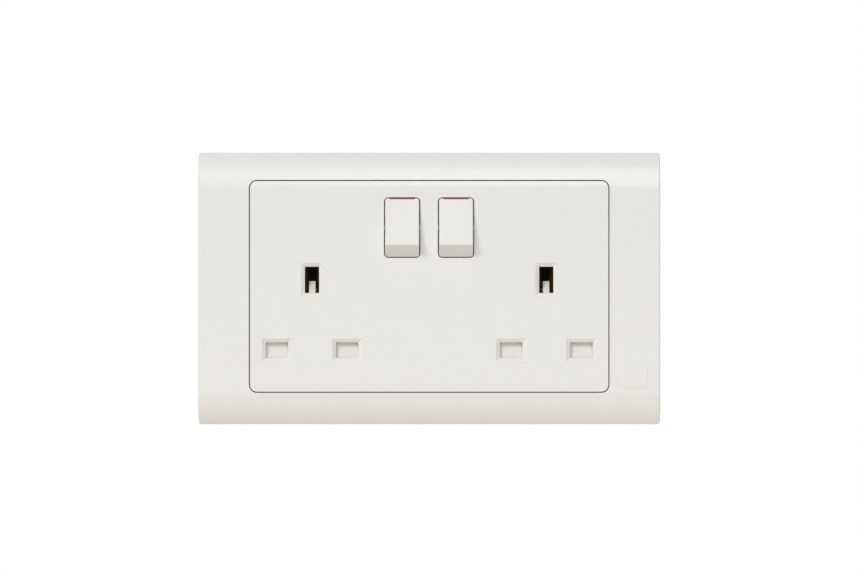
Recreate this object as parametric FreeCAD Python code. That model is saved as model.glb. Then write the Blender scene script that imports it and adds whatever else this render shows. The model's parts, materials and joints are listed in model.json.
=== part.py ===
# Twin switched mains socket for a two-gang wall box, in millimetres.
# X runs right as seen from the front, Z runs up, the front faces -Y and the wall is the plane Y = 0.

import FreeCAD, Part
import math
import os

# Wall plate: flat across the middle, with crowned top and bottom edges
PLATE_WIDTH = 146.0
PLATE_HEIGHT = 86.0
PLATE_PROJECTION = 9.6
PLATE_FLAT_HEIGHT = 63.4
PLATE_EDGE_DROP = 4.1
FRAME_WALL = 2.2
FRAME_EDGE_ROUND = 0.5
FRAME_CORNER_ROUND = 0.8

# Socket module that shows through the frame
MODULE_WIDTH = 113.15
MODULE_HEIGHT = 66.5
MODULE_RISE = 0.65
MODULE_CORNER = 2.2
MODULE_GAP = 0.35
FACE_THICKNESS = 1.7
SKIRT_WALL = 2.0

# Flange under the frame, with the two fixings to the wall box
FLANGE_THICKNESS = 2.5
FLANGE_CLEARANCE = 0.4
FIXING_SPACING = 120.6
FIXING_HOLE_RADIUS = 2.1
FIXING_SEAT_RADIUS = 3.5
FIXING_SEAT_DEPTH = 0.6

# Barbs inside the frame that snap behind the flange
BARB_SPACING = 76.0
BARB_WIDTH = 9.0
BARB_REACH = 1.0
BARB_HEIGHT = 1.1
BARB_LEAD = 0.6
BARB_PLAY = 0.1

# Pin apertures of the two outlets
OUTLET_SPACING = 74.0
EARTH_RISE = 2.7
PIN_DROP = 22.2
PIN_SPACING = 22.2
EARTH_HOLE_WIDTH = 4.5
EARTH_HOLE_HEIGHT = 8.3
LIVE_HOLE_WIDTH = 7.1
LIVE_HOLE_HEIGHT = 4.9
HOLE_BEVEL = 1.2
HOLE_BEVEL_DEPTH = 0.8

# Rockers, drawn switched off: top edge in, lower edge out
ROCKER_SPACING = 17.0
ROCKER_RISE = 19.2
ROCKER_WIDTH = 10.8
ROCKER_HEIGHT = 18.6
ROCKER_CORNER = 1.1
ROCKER_GAP = 0.35
ROCKER_END_GAP = 0.25
ROCKER_TOP_PROUD = 0.3
ROCKER_BREAK_PROUD = 3.8
ROCKER_BREAK_DROP = 5.5
ROCKER_FOOT_DEPTH = 0.3
ROCKER_DISH = 0.25
ROCKER_DEPTH = 3.7
ROCKER_TAPER = 0.5
ROCKER_WALL = 1.5
ROCKER_EDGE_ROUND = 0.4
ROCKER_TRAVEL = 14.0
PIVOT_DEPTH = 2.2
TRUNNION_RADIUS = 0.8
TRUNNION_LENGTH = 1.2
TRUNNION_GAP = 0.05
COLLAR_WALL = 2.0
COLLAR_DEPTH = 4.2

# Snap action: a sprung plunger in each rocker rides over a see-saw contact
STEM_RADIUS = 2.7
STEM_LENGTH = 6.2
PLUNGER_RADIUS = 1.6
PLUNGER_GAP = 0.05
PLUNGER_TAIL = 4.0
PLUNGER_TRAVEL = 0.5
PLUNGER_TIP_GAP = 0.02
BORE_START = 0.6
SEESAW_SWING = 22.0
SEESAW_WIDTH = 4.4
SEESAW_HALF_LENGTH = 8.0
SEESAW_THICKNESS = 1.0
SEESAW_WAIST = 0.6
SEESAW_CORNER = 1.1
CONTACT_ARM = 6.3
CONTACT_CLOSED_GAP = 0.05
TIP_RADIUS = 1.5
TIP_HEIGHT = 0.8
TIP_DOME_RADIUS = 3.0
FULCRUM_GAP = 0.04
FULCRUM_SLOPE = 0.7

# Safety shutters: two blades on a stem, with a ramped tongue in the earth aperture
SHUTTER_THICKNESS = 3.4
SHUTTER_TRAVEL = 4.9
BLADE_LAP = 0.25
BLADE_SIDE_LAP = 1.0
BLADE_RAMP_DEPTH = 0.8
SHUTTER_STEM_WIDTH = 6.0
TONGUE_WIDTH = 2.0
TONGUE_TOP_BELOW_EARTH = 0.4
TONGUE_RAMP_DEPTH = 2.6
TONGUE_SHOULDER_LAP = 0.7
SLIDE_GAP = 0.1
RAIL_WIDTH = 1.2
RAIL_GAP = 0.25
SHUTTER_SPRING_RADIUS = 1.15
SHUTTER_SPRING_WIRE = 0.3
SPRING_PEG_LENGTH = 1.0
SPRING_SEAT_GAP = 0.05

# Plates that hold the shutters in and guide the pins
COVER_THICKNESS = 1.6
COVER_SIDE_LAP = 1.5
COVER_TOP = 9.5
COVER_HOLE_CLEARANCE = 0.35
DOWEL_RADIUS = 1.0
DOWEL_SHOULDER_RADIUS = 2.2
DOWEL_SPREAD = 24.0
DOWEL_RISE = 5.5
DOWEL_GAP = 0.1

# Rear body
BODY_WIDTH = 107.0
BODY_HEIGHT = 60.1
BODY_CORNER = 3.0
BODY_WALL = 2.0
BODY_FLOOR = 2.0
PARTITION = 1.4
LINE_DEPTH = 11.5
POLE_STEP = 2.6
RELIEF_GAP = 0.25
BODY_BACK_BEVEL = 0.8
CORE_DEPTH = 3.6
CORE_RIB = 2.5
CORE_COUNT = 4
LOWER_CORE_X = 37.5
LOWER_CORE_Z = -20.5
LOWER_CORE_SIZE = 13.0

# Brass conductors, one flat strip for each pole at its own depth
STRIP = 0.8
LINK_WIDTH = 4.0
LINE_WEB_X = 22.3
LINE_WEB_WIDTH = 3.6
LINE_RUN_RISE = -6.0
NEUTRAL_LINK_RISE = -10.0
FEED_CROSS_WIDTH = 4.0
CLIP_WIDTH = 6.0
JAW_THICKNESS = 0.6
JAW_HEEL = 2.6
JAW_PINCH = 1.2
JAW_MOUTH = 2.9
JAW_MOUTH_DEPTH = 3.3
JAW_PINCH_DEPTH = 6.6
EARTH_JAW_WIDTH = 8.0
EARTH_NOTCH_WIDTH = 3.6
EARTH_NOTCH_DROP = 2.6

# Terminal pillars, wired from below and clamped from the back
TERMINAL_PITCH = 11.0
PILLAR_WIDTH = 7.0
PILLAR_LENGTH = 9.0
PILLAR_BOTTOM = -23.3
PILLAR_FORWARD = 0.9
PILLAR_GAP = 0.15
WIRE_BORE_RADIUS = 2.1
WIRE_BORE_DEPTH = 5.6
TAB_SLOT_DEPTH = 2.5
TAB_GAP = 0.05
CLAMP_SCREW_RADIUS = 1.7
CLAMP_HEAD_RADIUS = 2.7
CLAMP_HEAD_HEIGHT = 1.8
CLAMP_SCREW_RISE = 2.9
CLAMP_TIP_GAP = 0.1
CLAMP_HEAD_STAND_OFF = 0.4
WIRE_NOTCH_WIDTH = 30.0
TERMINAL_BLOCK_TOP = -12.5
TERMINAL_BLOCK_WIDTH = 36.0

# Screws that hold the rear body to the front plate
SCREW_RADIUS = 1.4
SCREW_HEAD_RADIUS = 2.6
SCREW_HEAD_HEIGHT = 2.0
SCREW_GAP = 0.1
SCREW_THREAD_GAP = 0.03
SCREW_TIP_ROOM = 0.5
SCREW_SEAT_DEPTH = 6.6
COLUMN_RADIUS = 4.2
BOSS_RADIUS = 2.3
UPPER_SCREW_X = 48.0
UPPER_SCREW_Z = 26.0
LOWER_SCREW_X = 18.9
LOWER_SCREW_Z = -25.6

DRIVE_SLOT_WIDTH = 0.9
DRIVE_SLOT_DEPTH = 0.8

# Directions and the two halves of the socket
V = FreeCAD.Vector
ALONG_X = V(1, 0, 0)
ALONG_Y = V(0, 1, 0)
ALONG_Z = V(0, 0, 1)
SIDES = {"left": -1, "right": 1}

# How far a cut runs past a surface, and the tolerances used to pick out edges
BEYOND = 1.0
TOUCHING = 0.01
PARALLEL = 0.99

# Depths that follow from the driving sizes, front to back
FACE_FRONT = -PLATE_PROJECTION
FACE_BACK = FACE_FRONT + FACE_THICKNESS
SHUTTER_FRONT = FACE_BACK + SLIDE_GAP
SHUTTER_BACK = SHUTTER_FRONT + SHUTTER_THICKNESS
COVER_FRONT = SHUTTER_BACK + SLIDE_GAP
COVER_BACK = COVER_FRONT + COVER_THICKNESS
BODY_FRONT = COVER_BACK + SLIDE_GAP
LINE_PLANE = BODY_FRONT + LINE_DEPTH
NEUTRAL_PLANE = LINE_PLANE + POLE_STEP
EARTH_PLANE = NEUTRAL_PLANE + POLE_STEP
BODY_BACK = EARTH_PLANE + STRIP + BODY_FLOOR
PIVOT_Y = FACE_FRONT + PIVOT_DEPTH

# Heights and outlines that follow from the driving sizes
PIN_ROW = EARTH_RISE - PIN_DROP
MODULE_BOTTOM = MODULE_RISE - MODULE_HEIGHT / 2
MODULE_TOP = MODULE_RISE + MODULE_HEIGHT / 2
SKIRT_FLOOR = MODULE_BOTTOM + SKIRT_WALL
BODY_BOTTOM = MODULE_RISE - BODY_HEIGHT / 2
BODY_TOP = MODULE_RISE + BODY_HEIGHT / 2
CROWN_RISE = PLATE_HEIGHT / 2 - PLATE_FLAT_HEIGHT / 2
CROWN_RADIUS = (CROWN_RISE ** 2 + PLATE_EDGE_DROP ** 2) / (2 * PLATE_EDGE_DROP)
BLADE_TOP = PIN_ROW + LIVE_HOLE_HEIGHT / 2 + BLADE_LAP
BLADE_BOTTOM = PIN_ROW - LIVE_HOLE_HEIGHT / 2 - 2 * BLADE_LAP
BLADE_REACH = PIN_SPACING / 2 + LIVE_HOLE_WIDTH / 2 + BLADE_SIDE_LAP
COVER_REACH = BLADE_REACH + COVER_SIDE_LAP
COVER_BOTTOM = BLADE_BOTTOM - SHUTTER_TRAVEL - COVER_SIDE_LAP
PILLAR_TOP = PILLAR_BOTTOM + PILLAR_LENGTH
TAB_END = PILLAR_TOP - TAB_SLOT_DEPTH + TAB_GAP
SEESAW_HALF_SWING = math.radians(SEESAW_SWING / 2)

# The see-saw turns where its tip just meets the fixed tip when the switch is on
TIP_REACH = SEESAW_THICKNESS / 2 + TIP_HEIGHT
CLOSED_REACH = TIP_REACH * math.cos(SEESAW_HALF_SWING) + CONTACT_ARM * math.sin(SEESAW_HALF_SWING)
SEESAW_Y = LINE_PLANE - TIP_HEIGHT - CONTACT_CLOSED_GAP - CLOSED_REACH
CLOSED_RISE = CONTACT_ARM * math.cos(SEESAW_HALF_SWING) - TIP_REACH * math.sin(SEESAW_HALF_SWING)
FIXED_TIP_Z = ROCKER_RISE + CLOSED_RISE


def box(x, y, z):
    """A block from (low, high) pairs along each axis."""
    return Part.makeBox(x[1] - x[0], y[1] - y[0], z[1] - z[0], V(x[0], y[0], z[0]))


def runs_front_to_back(edge):
    return abs(edge.tangentAt(edge.FirstParameter).y) > PARALLEL


def rounded_block(x, y, z, radius):
    """A block whose four edges along Y are rounded."""
    block = box(x, y, z)
    return block.makeFillet(radius, [edge for edge in block.Edges if runs_front_to_back(edge)])


def prism(points, along):
    """A flat outline pushed along a vector."""
    return Part.Face(Part.makePolygon(points + points[:1])).extrude(along)


def rod(start, direction, radius, length):
    return Part.makeCylinder(radius, length, start, direction)


def fused(shapes):
    first, *others = shapes
    return first.fuse(others).removeSplitter()


def span(centre, width):
    """The (low, high) pair of a width about its centre."""
    return (centre - width / 2, centre + width / 2)


def grown(pair, by):
    return (pair[0] - by, pair[1] + by)


def outlet_x(side):
    return side * OUTLET_SPACING / 2


def rocker_x(side):
    return side * ROCKER_SPACING / 2


def neutral_x(side):
    return outlet_x(side) - PIN_SPACING / 2


def line_x(side):
    return outlet_x(side) + PIN_SPACING / 2


# Wall plate


def crowned_section(inset):
    """The plate's section across its height, inset evenly from the outer skin, as a face at X = 0."""
    top = PLATE_HEIGHT / 2 - inset
    flat = PLATE_FLAT_HEIGHT / 2
    radius = CROWN_RADIUS - inset
    centre_y = FACE_FRONT + CROWN_RADIUS
    turn = math.asin((top - flat) / radius)

    def on_crown(angle, sign):
        return V(0, centre_y - radius * math.cos(angle), sign * (flat + radius * math.sin(angle)))

    upper = [on_crown(angle, 1) for angle in (0, turn / 2, turn)]
    lower = [on_crown(angle, -1) for angle in (turn, turn / 2, 0)]
    back_top = V(0, 0, top)
    back_bottom = V(0, 0, -top)
    edges = [
        Part.LineSegment(lower[2], upper[0]).toShape(),
        Part.Arc(*upper).toShape(),
        Part.LineSegment(upper[2], back_top).toShape(),
        Part.LineSegment(back_top, back_bottom).toShape(),
        Part.LineSegment(back_bottom, lower[0]).toShape(),
        Part.Arc(*lower).toShape(),
    ]
    return Part.Face(Part.Wire(edges))


def crowned_block(inset):
    length = PLATE_WIDTH - 2 * inset
    return crowned_section(inset).translated(V(-length / 2, 0, 0)).extrude(V(length, 0, 0))


def module_block(grow, y, radius):
    """The module's rounded outline, grown or shrunk evenly, between two depths."""
    x = grown(span(0, MODULE_WIDTH), grow)
    z = grown((MODULE_BOTTOM, MODULE_TOP), grow)
    return rounded_block(x, y, z, radius)


def is_corner_edge(edge):
    """An edge of the plate that runs from front to back at one of its four corners."""
    middle = edge.CenterOfMass
    at_end = abs(middle.x) > PLATE_WIDTH / 2 - TOUCHING
    at_long_side = abs(middle.z) > PLATE_HEIGHT / 2 - TOUCHING
    return at_end and at_long_side and runs_front_to_back(edge)


def is_front_rim_edge(edge):
    """An edge of the plate's outer rim, where its skin turns into the side walls."""
    middle = edge.CenterOfMass
    at_end = abs(middle.x) > PLATE_WIDTH / 4
    at_long_side = abs(middle.z) > PLATE_HEIGHT / 2 - TOUCHING
    return (at_end or at_long_side) and edge.BoundBox.YMax < -FRAME_WALL


def barb(sign, x):
    """A snap barb on the inside of the frame's long wall."""
    wall = PLATE_HEIGHT / 2 - FRAME_WALL
    nose = wall - FLANGE_CLEARANCE - BARB_REACH
    front = -BARB_PLAY - BARB_HEIGHT
    outline = [
        V(x - BARB_WIDTH / 2, front, sign * (wall + FRAME_WALL / 2)),
        V(x - BARB_WIDTH / 2, front, sign * nose),
        V(x - BARB_WIDTH / 2, front + BARB_HEIGHT - BARB_LEAD, sign * nose),
        V(x - BARB_WIDTH / 2, -BARB_PLAY, sign * (nose + BARB_LEAD)),
        V(x - BARB_WIDTH / 2, -BARB_PLAY, sign * (wall + FRAME_WALL / 2)),
    ]
    return prism(outline, V(BARB_WIDTH, 0, 0))


def outer_frame():
    skin = crowned_block(0)
    skin = skin.makeFillet(FRAME_CORNER_ROUND, [edge for edge in skin.Edges if is_corner_edge(edge)])
    skin = skin.makeFillet(FRAME_EDGE_ROUND, [edge for edge in skin.Edges if is_front_rim_edge(edge)])
    window = module_block(MODULE_GAP, (FACE_FRONT - BEYOND, BEYOND), MODULE_CORNER + MODULE_GAP)
    frame = skin.cut([crowned_block(FRAME_WALL), window])
    barbs = [barb(sign, x) for sign in (-1, 1) for x in (-BARB_SPACING / 2, BARB_SPACING / 2)]
    return fused([frame] + barbs)


# Front plate


def bevelled_hole(x, z, width, height):
    """A pin aperture through the face, with a bevelled mouth."""

    def rectangle(grow, y):
        half_width = width / 2 + grow
        half_height = height / 2 + grow
        corners = [
            V(x - half_width, y, z - half_height),
            V(x + half_width, y, z - half_height),
            V(x + half_width, y, z + half_height),
            V(x - half_width, y, z + half_height),
        ]
        return Part.makePolygon(corners + corners[:1])

    throat = box(span(x, width), (FACE_FRONT - BEYOND, FACE_BACK + BEYOND), span(z, height))
    slope = HOLE_BEVEL / HOLE_BEVEL_DEPTH
    wide = rectangle(HOLE_BEVEL + BEYOND * slope, FACE_FRONT - BEYOND)
    narrow = rectangle(0, FACE_FRONT + HOLE_BEVEL_DEPTH)
    return throat.fuse(Part.makeLoft([wide, narrow], True, True))


def outlet_holes(side):
    return [
        bevelled_hole(outlet_x(side), EARTH_RISE, EARTH_HOLE_WIDTH, EARTH_HOLE_HEIGHT),
        bevelled_hole(neutral_x(side), PIN_ROW, LIVE_HOLE_WIDTH, LIVE_HOLE_HEIGHT),
        bevelled_hole(line_x(side), PIN_ROW, LIVE_HOLE_WIDTH, LIVE_HOLE_HEIGHT),
    ]


def rocker_window(side, grow, y):
    x = grown(span(rocker_x(side), ROCKER_WIDTH), ROCKER_GAP + grow)
    z = grown(span(ROCKER_RISE, ROCKER_HEIGHT), ROCKER_END_GAP + grow)
    return rounded_block(x, y, z, ROCKER_CORNER + ROCKER_GAP + grow)


def trunnion_slot(side):
    """The two U slots, open to the back, in which a rocker's trunnions turn."""
    radius = TRUNNION_RADIUS + TRUNNION_GAP
    half = ROCKER_WIDTH / 2 + ROCKER_GAP + TRUNNION_LENGTH + TRUNNION_GAP
    x = (rocker_x(side) - half, rocker_x(side) + half)
    way_in = box(x, (PIVOT_Y, FACE_BACK + COLLAR_DEPTH + BEYOND), span(ROCKER_RISE, 2 * radius))
    seat = rod(V(x[0], PIVOT_Y, ROCKER_RISE), ALONG_X, radius, x[1] - x[0])
    return way_in.fuse(seat)


def shutter_rails(side):
    """Ribs that guide a shutter at its blades' ends and along its stem."""
    rails = []
    blade_z = (COVER_BOTTOM, BLADE_TOP + RAIL_WIDTH)
    stem_z = (BLADE_TOP + BLADE_SIDE_LAP, EARTH_RISE - EARTH_HOLE_HEIGHT / 2 - 2 * HOLE_BEVEL)
    for reach, z in ((BLADE_REACH, blade_z), (SHUTTER_STEM_WIDTH / 2, stem_z)):
        for end in (-1, 1):
            inner = outlet_x(side) + end * (reach + RAIL_GAP)
            x = sorted((inner, inner + end * RAIL_WIDTH))
            rails.append(box(x, (FACE_BACK, COVER_FRONT), z))
    return rails


def dowel_places(side):
    return [(outlet_x(side) + end * DOWEL_SPREAD / 2, DOWEL_RISE) for end in (-1, 1)]


def cover_dowels(side):
    """Shouldered posts that carry and locate a shutter cover."""
    posts = []
    for x, z in dowel_places(side):
        root = V(x, FACE_BACK, z)
        posts.append(rod(root, ALONG_Y, DOWEL_SHOULDER_RADIUS, COVER_FRONT - FACE_BACK))
        posts.append(rod(root, ALONG_Y, DOWEL_RADIUS, COVER_BACK - DOWEL_GAP - FACE_BACK))
    return posts


def spring_axis_y():
    return (SHUTTER_FRONT + SHUTTER_BACK) / 2


def spring_peg(side):
    radius = SHUTTER_SPRING_RADIUS - SHUTTER_SPRING_WIRE - SLIDE_GAP
    root = V(outlet_x(side), spring_axis_y(), SKIRT_FLOOR)
    return rod(root, ALONG_Z, radius, SPRING_PEG_LENGTH)


def screw_places():
    upper = [(sign * UPPER_SCREW_X, UPPER_SCREW_Z) for sign in (-1, 1)]
    lower = [(sign * LOWER_SCREW_X, LOWER_SCREW_Z) for sign in (-1, 1)]
    return upper + lower


def screw_seat_y():
    """Where the heads of the assembly screws bear, deep in their columns."""
    return BODY_FRONT + SCREW_SEAT_DEPTH


def screw_tip_y():
    return FACE_BACK + SCREW_TIP_ROOM


def flange_half_height():
    return PLATE_HEIGHT / 2 - FRAME_WALL - FLANGE_CLEARANCE


def barb_recess(sign, x):
    """The step at the back of the flange's edge that a barb snaps into."""
    edge = flange_half_height()
    z = sorted((sign * (edge - BARB_REACH - 2 * BARB_PLAY), sign * (edge + BEYOND)))
    return box(span(x, BARB_WIDTH + 2 * BEYOND), (-BARB_HEIGHT - 2 * BARB_PLAY, BEYOND), z)


def flange():
    half_width = PLATE_WIDTH / 2 - FRAME_WALL - FLANGE_CLEARANCE
    half_height = flange_half_height()
    sheet = rounded_block(
        (-half_width, half_width), (-FLANGE_THICKNESS, 0), (-half_height, half_height), MODULE_CORNER
    )
    cuts = []
    for sign in (-1, 1):
        x = sign * FIXING_SPACING / 2
        start = V(x, -FLANGE_THICKNESS - BEYOND, 0)
        cuts.append(rod(start, ALONG_Y, FIXING_HOLE_RADIUS, FLANGE_THICKNESS + 2 * BEYOND))
        cuts.append(rod(start, ALONG_Y, FIXING_SEAT_RADIUS, FIXING_SEAT_DEPTH + BEYOND))
        for barb_x in (-BARB_SPACING / 2, BARB_SPACING / 2):
            cuts.append(barb_recess(sign, barb_x))
    return sheet.cut(cuts)


def front_plate():
    shell = crowned_block(0).common(module_block(0, (FACE_FRONT - BEYOND, 0), MODULE_CORNER))
    hollow = module_block(-SKIRT_WALL, (FACE_BACK, BEYOND), MODULE_CORNER)
    cuts = []
    for side in SIDES.values():
        cuts.append(rocker_window(side, 0, (FACE_FRONT - BEYOND, FACE_BACK + COLLAR_DEPTH + BEYOND)))
        cuts.append(trunnion_slot(side))
        cuts.extend(outlet_holes(side))
    shell = shell.fuse(flange()).cut(hollow)
    ribs = []
    for side in SIDES.values():
        ribs.append(rocker_window(side, COLLAR_WALL, (FACE_BACK, FACE_BACK + COLLAR_DEPTH)))
        ribs.extend(shutter_rails(side))
        ribs.extend(cover_dowels(side))
        ribs.append(spring_peg(side))
    for x, z in screw_places():
        ribs.append(rod(V(x, FACE_BACK, z), ALONG_Y, BOSS_RADIUS, BODY_FRONT - FACE_BACK))
        pilot = V(x, screw_tip_y() - SCREW_TIP_ROOM / 2, z)
        cuts.append(rod(pilot, ALONG_Y, SCREW_RADIUS + SCREW_THREAD_GAP, BODY_FRONT - FACE_BACK))
    return fused([shell] + ribs).cut(cuts)


# Rockers and their snap action


def rocker_section(depth, inset):
    """A rocker's side outline, switched off, as a face at X = 0."""
    half = ROCKER_HEIGHT / 2

    def at(z, proud):
        return V(0, FACE_FRONT - proud, ROCKER_RISE + z)

    top = at(half, ROCKER_TOP_PROUD)
    ridge = at(-ROCKER_BREAK_DROP, ROCKER_BREAK_PROUD)
    dish_z = (half - ROCKER_BREAK_DROP) / 2
    dish = at(dish_z, (ROCKER_TOP_PROUD + ROCKER_BREAK_PROUD) / 2 - ROCKER_DISH)
    heel = half - ROCKER_TAPER
    waist = half / 3
    rest = [
        ridge,
        at(-half, -ROCKER_FOOT_DEPTH),
        at(-heel, -depth + ROCKER_WALL),
        at(-waist, -depth),
        at(waist, -depth),
        at(heel, -depth + ROCKER_WALL),
        top,
    ]
    edges = [Part.Arc(top, dish, ridge).toShape()]
    edges += [Part.LineSegment(a, b).toShape() for a, b in zip(rest, rest[1:])]
    face = Part.Face(Part.Wire(edges))
    return face.makeOffset2D(-inset, join=2) if inset else face


def about_pivot(shape, degrees):
    return shape.rotated(V(0, PIVOT_Y, ROCKER_RISE), ALONG_X, degrees)


def on_stem_axis(shape):
    """Turns a shape made on the rocker's mid-travel axis to where it is when switched off."""
    return about_pivot(shape, -ROCKER_TRAVEL / 2)


def is_rocker_front_edge(edge):
    return edge.BoundBox.YMax < FACE_FRONT + ROCKER_FOOT_DEPTH + TOUCHING


def rocker(side):
    x = span(rocker_x(side), ROCKER_WIDTH)
    inner_x = grown(x, -ROCKER_WALL)
    solid = rocker_section(ROCKER_DEPTH, 0).translated(V(x[0], 0, 0)).extrude(V(ROCKER_WIDTH, 0, 0))
    front_edges = [edge for edge in solid.Edges if is_rocker_front_edge(edge)]
    solid = solid.makeFillet(ROCKER_EDGE_ROUND, front_edges)
    y = (FACE_FRONT - ROCKER_BREAK_PROUD - BEYOND, FACE_FRONT + ROCKER_DEPTH + BEYOND)
    solid = solid.common(rounded_block(x, y, span(ROCKER_RISE, ROCKER_HEIGHT), ROCKER_CORNER))
    hollow = rocker_section(2 * ROCKER_DEPTH, ROCKER_WALL).translated(V(inner_x[0], 0, 0))
    solid = solid.cut(hollow.extrude(V(inner_x[1] - inner_x[0], 0, 0)))
    skin_middle = (ROCKER_TOP_PROUD + ROCKER_BREAK_PROUD) / 2 - ROCKER_DISH
    stem_root = PIVOT_DEPTH + skin_middle - ROCKER_WALL / 2
    stem_start = V(rocker_x(side), PIVOT_Y - stem_root, ROCKER_RISE)
    stem = on_stem_axis(rod(stem_start, ALONG_Y, STEM_RADIUS, stem_root + STEM_LENGTH))
    bore_start = V(rocker_x(side), PIVOT_Y + BORE_START, ROCKER_RISE)
    bore = on_stem_axis(rod(bore_start, ALONG_Y, PLUNGER_RADIUS + PLUNGER_GAP, STEM_LENGTH))
    reach = ROCKER_WIDTH / 2 + ROCKER_GAP + TRUNNION_LENGTH
    trunnion_start = V(rocker_x(side) - reach, PIVOT_Y, ROCKER_RISE)
    trunnions = rod(trunnion_start, ALONG_X, TRUNNION_RADIUS, 2 * reach)
    gap_between = box(inner_x, (FACE_FRONT, 0), span(ROCKER_RISE, 2 * ROCKER_HEIGHT))
    return fused([solid, stem, trunnions.cut(gap_between)]).cut(bore)


def plunger_tip():
    """Distance from the rocker's pivot to the plunger's tip, just clear of the see-saw at mid travel."""
    return SEESAW_Y - SEESAW_THICKNESS / 2 - PLUNGER_TIP_GAP - PIVOT_Y


def plunger(side):
    tail = V(rocker_x(side), PIVOT_Y + PLUNGER_TAIL, ROCKER_RISE)
    shank_length = plunger_tip() - PLUNGER_RADIUS - PLUNGER_TAIL
    nose_centre = tail + V(0, shank_length, 0)
    shank = rod(tail, ALONG_Y, PLUNGER_RADIUS, shank_length)
    nose = Part.makeSphere(PLUNGER_RADIUS, nose_centre, ALONG_Y)
    return on_stem_axis(fused([shank, nose]))


def coil(start, direction, radius, wire, length):
    """The outer form of a close-wound coil spring."""
    return rod(start, direction, radius, length).cut(rod(start, direction, radius - wire, length))


def plunger_spring(side):
    start = V(rocker_x(side), PIVOT_Y + BORE_START, ROCKER_RISE)
    length = PLUNGER_TAIL - PLUNGER_TRAVEL - BORE_START - PLUNGER_GAP
    return on_stem_axis(coil(start, ALONG_Y, PLUNGER_RADIUS - PLUNGER_GAP, SHUTTER_SPRING_WIRE, length))


def on_seesaw(shape):
    """Turns a shape made on the level see-saw to where it is when switched off."""
    return shape.rotated(V(0, SEESAW_Y, ROCKER_RISE), ALONG_X, SEESAW_SWING / 2)


def contact_tip(x, y, z, direction):
    """A domed silver contact on a flat face."""
    seat = V(x, y, z)
    centre = seat + direction * (TIP_HEIGHT - TIP_DOME_RADIUS)
    dome = Part.makeSphere(TIP_DOME_RADIUS, centre)
    return rod(seat, direction, TIP_RADIUS, TIP_HEIGHT).common(dome)


def moving_contact(side):
    y = span(SEESAW_Y, SEESAW_THICKNESS)
    z = span(ROCKER_RISE, 2 * SEESAW_HALF_LENGTH)
    bar = rounded_block(span(rocker_x(side), SEESAW_WIDTH), y, z, SEESAW_CORNER)
    waists = []
    for end in (-1, 1):
        centre = V(rocker_x(side) + end * SEESAW_WIDTH / 2, y[0] - BEYOND, ROCKER_RISE)
        waists.append(rod(centre, ALONG_Y, SEESAW_WAIST, SEESAW_THICKNESS + 2 * BEYOND))
    return on_seesaw(bar.cut(waists))


def moving_contact_tip(side):
    y = SEESAW_Y + SEESAW_THICKNESS / 2
    return on_seesaw(contact_tip(rocker_x(side), y, ROCKER_RISE + CONTACT_ARM, ALONG_Y))


def fixed_contact_tip(side):
    return contact_tip(rocker_x(side), LINE_PLANE, FIXED_TIP_Z, V(0, -1, 0))


# Shutters


def shutter(side):
    x = outlet_x(side)
    y = (SHUTTER_FRONT, SHUTTER_BACK)
    shoulder = EARTH_RISE - EARTH_HOLE_HEIGHT / 2 - TONGUE_SHOULDER_LAP
    tongue_top = EARTH_RISE - TONGUE_TOP_BELOW_EARTH
    blades = box(span(x, 2 * BLADE_REACH), y, (BLADE_BOTTOM, BLADE_TOP))
    stem = box(span(x, SHUTTER_STEM_WIDTH), y, (BLADE_BOTTOM, shoulder))
    tongue = box(span(x, TONGUE_WIDTH), y, (shoulder, tongue_top))
    ramps = [ramp(x, TONGUE_WIDTH, shoulder + TONGUE_SHOULDER_LAP, tongue_top, TONGUE_RAMP_DEPTH)]
    for end in (-1, 1):
        blade_middle = x + end * PIN_SPACING / 2
        ramp_width = LIVE_HOLE_WIDTH + 2 * BLADE_SIDE_LAP + RAIL_GAP
        ramp_foot = BLADE_BOTTOM + 2 * BLADE_LAP
        ramps.append(ramp(blade_middle, ramp_width, ramp_foot, BLADE_TOP, BLADE_RAMP_DEPTH))
    return fused([blades, stem, tongue]).cut(ramps)


def ramp(x, width, low, high, depth):
    """The wedge cut from a shutter's front so that a pin drives it down."""
    left = x - width / 2 - BEYOND / 10
    outline = [
        V(left, SHUTTER_FRONT, low),
        V(left, SHUTTER_FRONT + depth, high),
        V(left, SHUTTER_FRONT + depth, high + BEYOND),
        V(left, SHUTTER_FRONT - BEYOND, high + BEYOND),
        V(left, SHUTTER_FRONT - BEYOND, low),
    ]
    return prism(outline, V(width + BEYOND / 5, 0, 0))


def shutter_spring(side):
    foot = V(outlet_x(side), spring_axis_y(), SKIRT_FLOOR + SPRING_SEAT_GAP)
    length = BLADE_BOTTOM - SPRING_SEAT_GAP - foot.z
    return coil(foot, ALONG_Z, SHUTTER_SPRING_RADIUS, SHUTTER_SPRING_WIRE, length)


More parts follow.
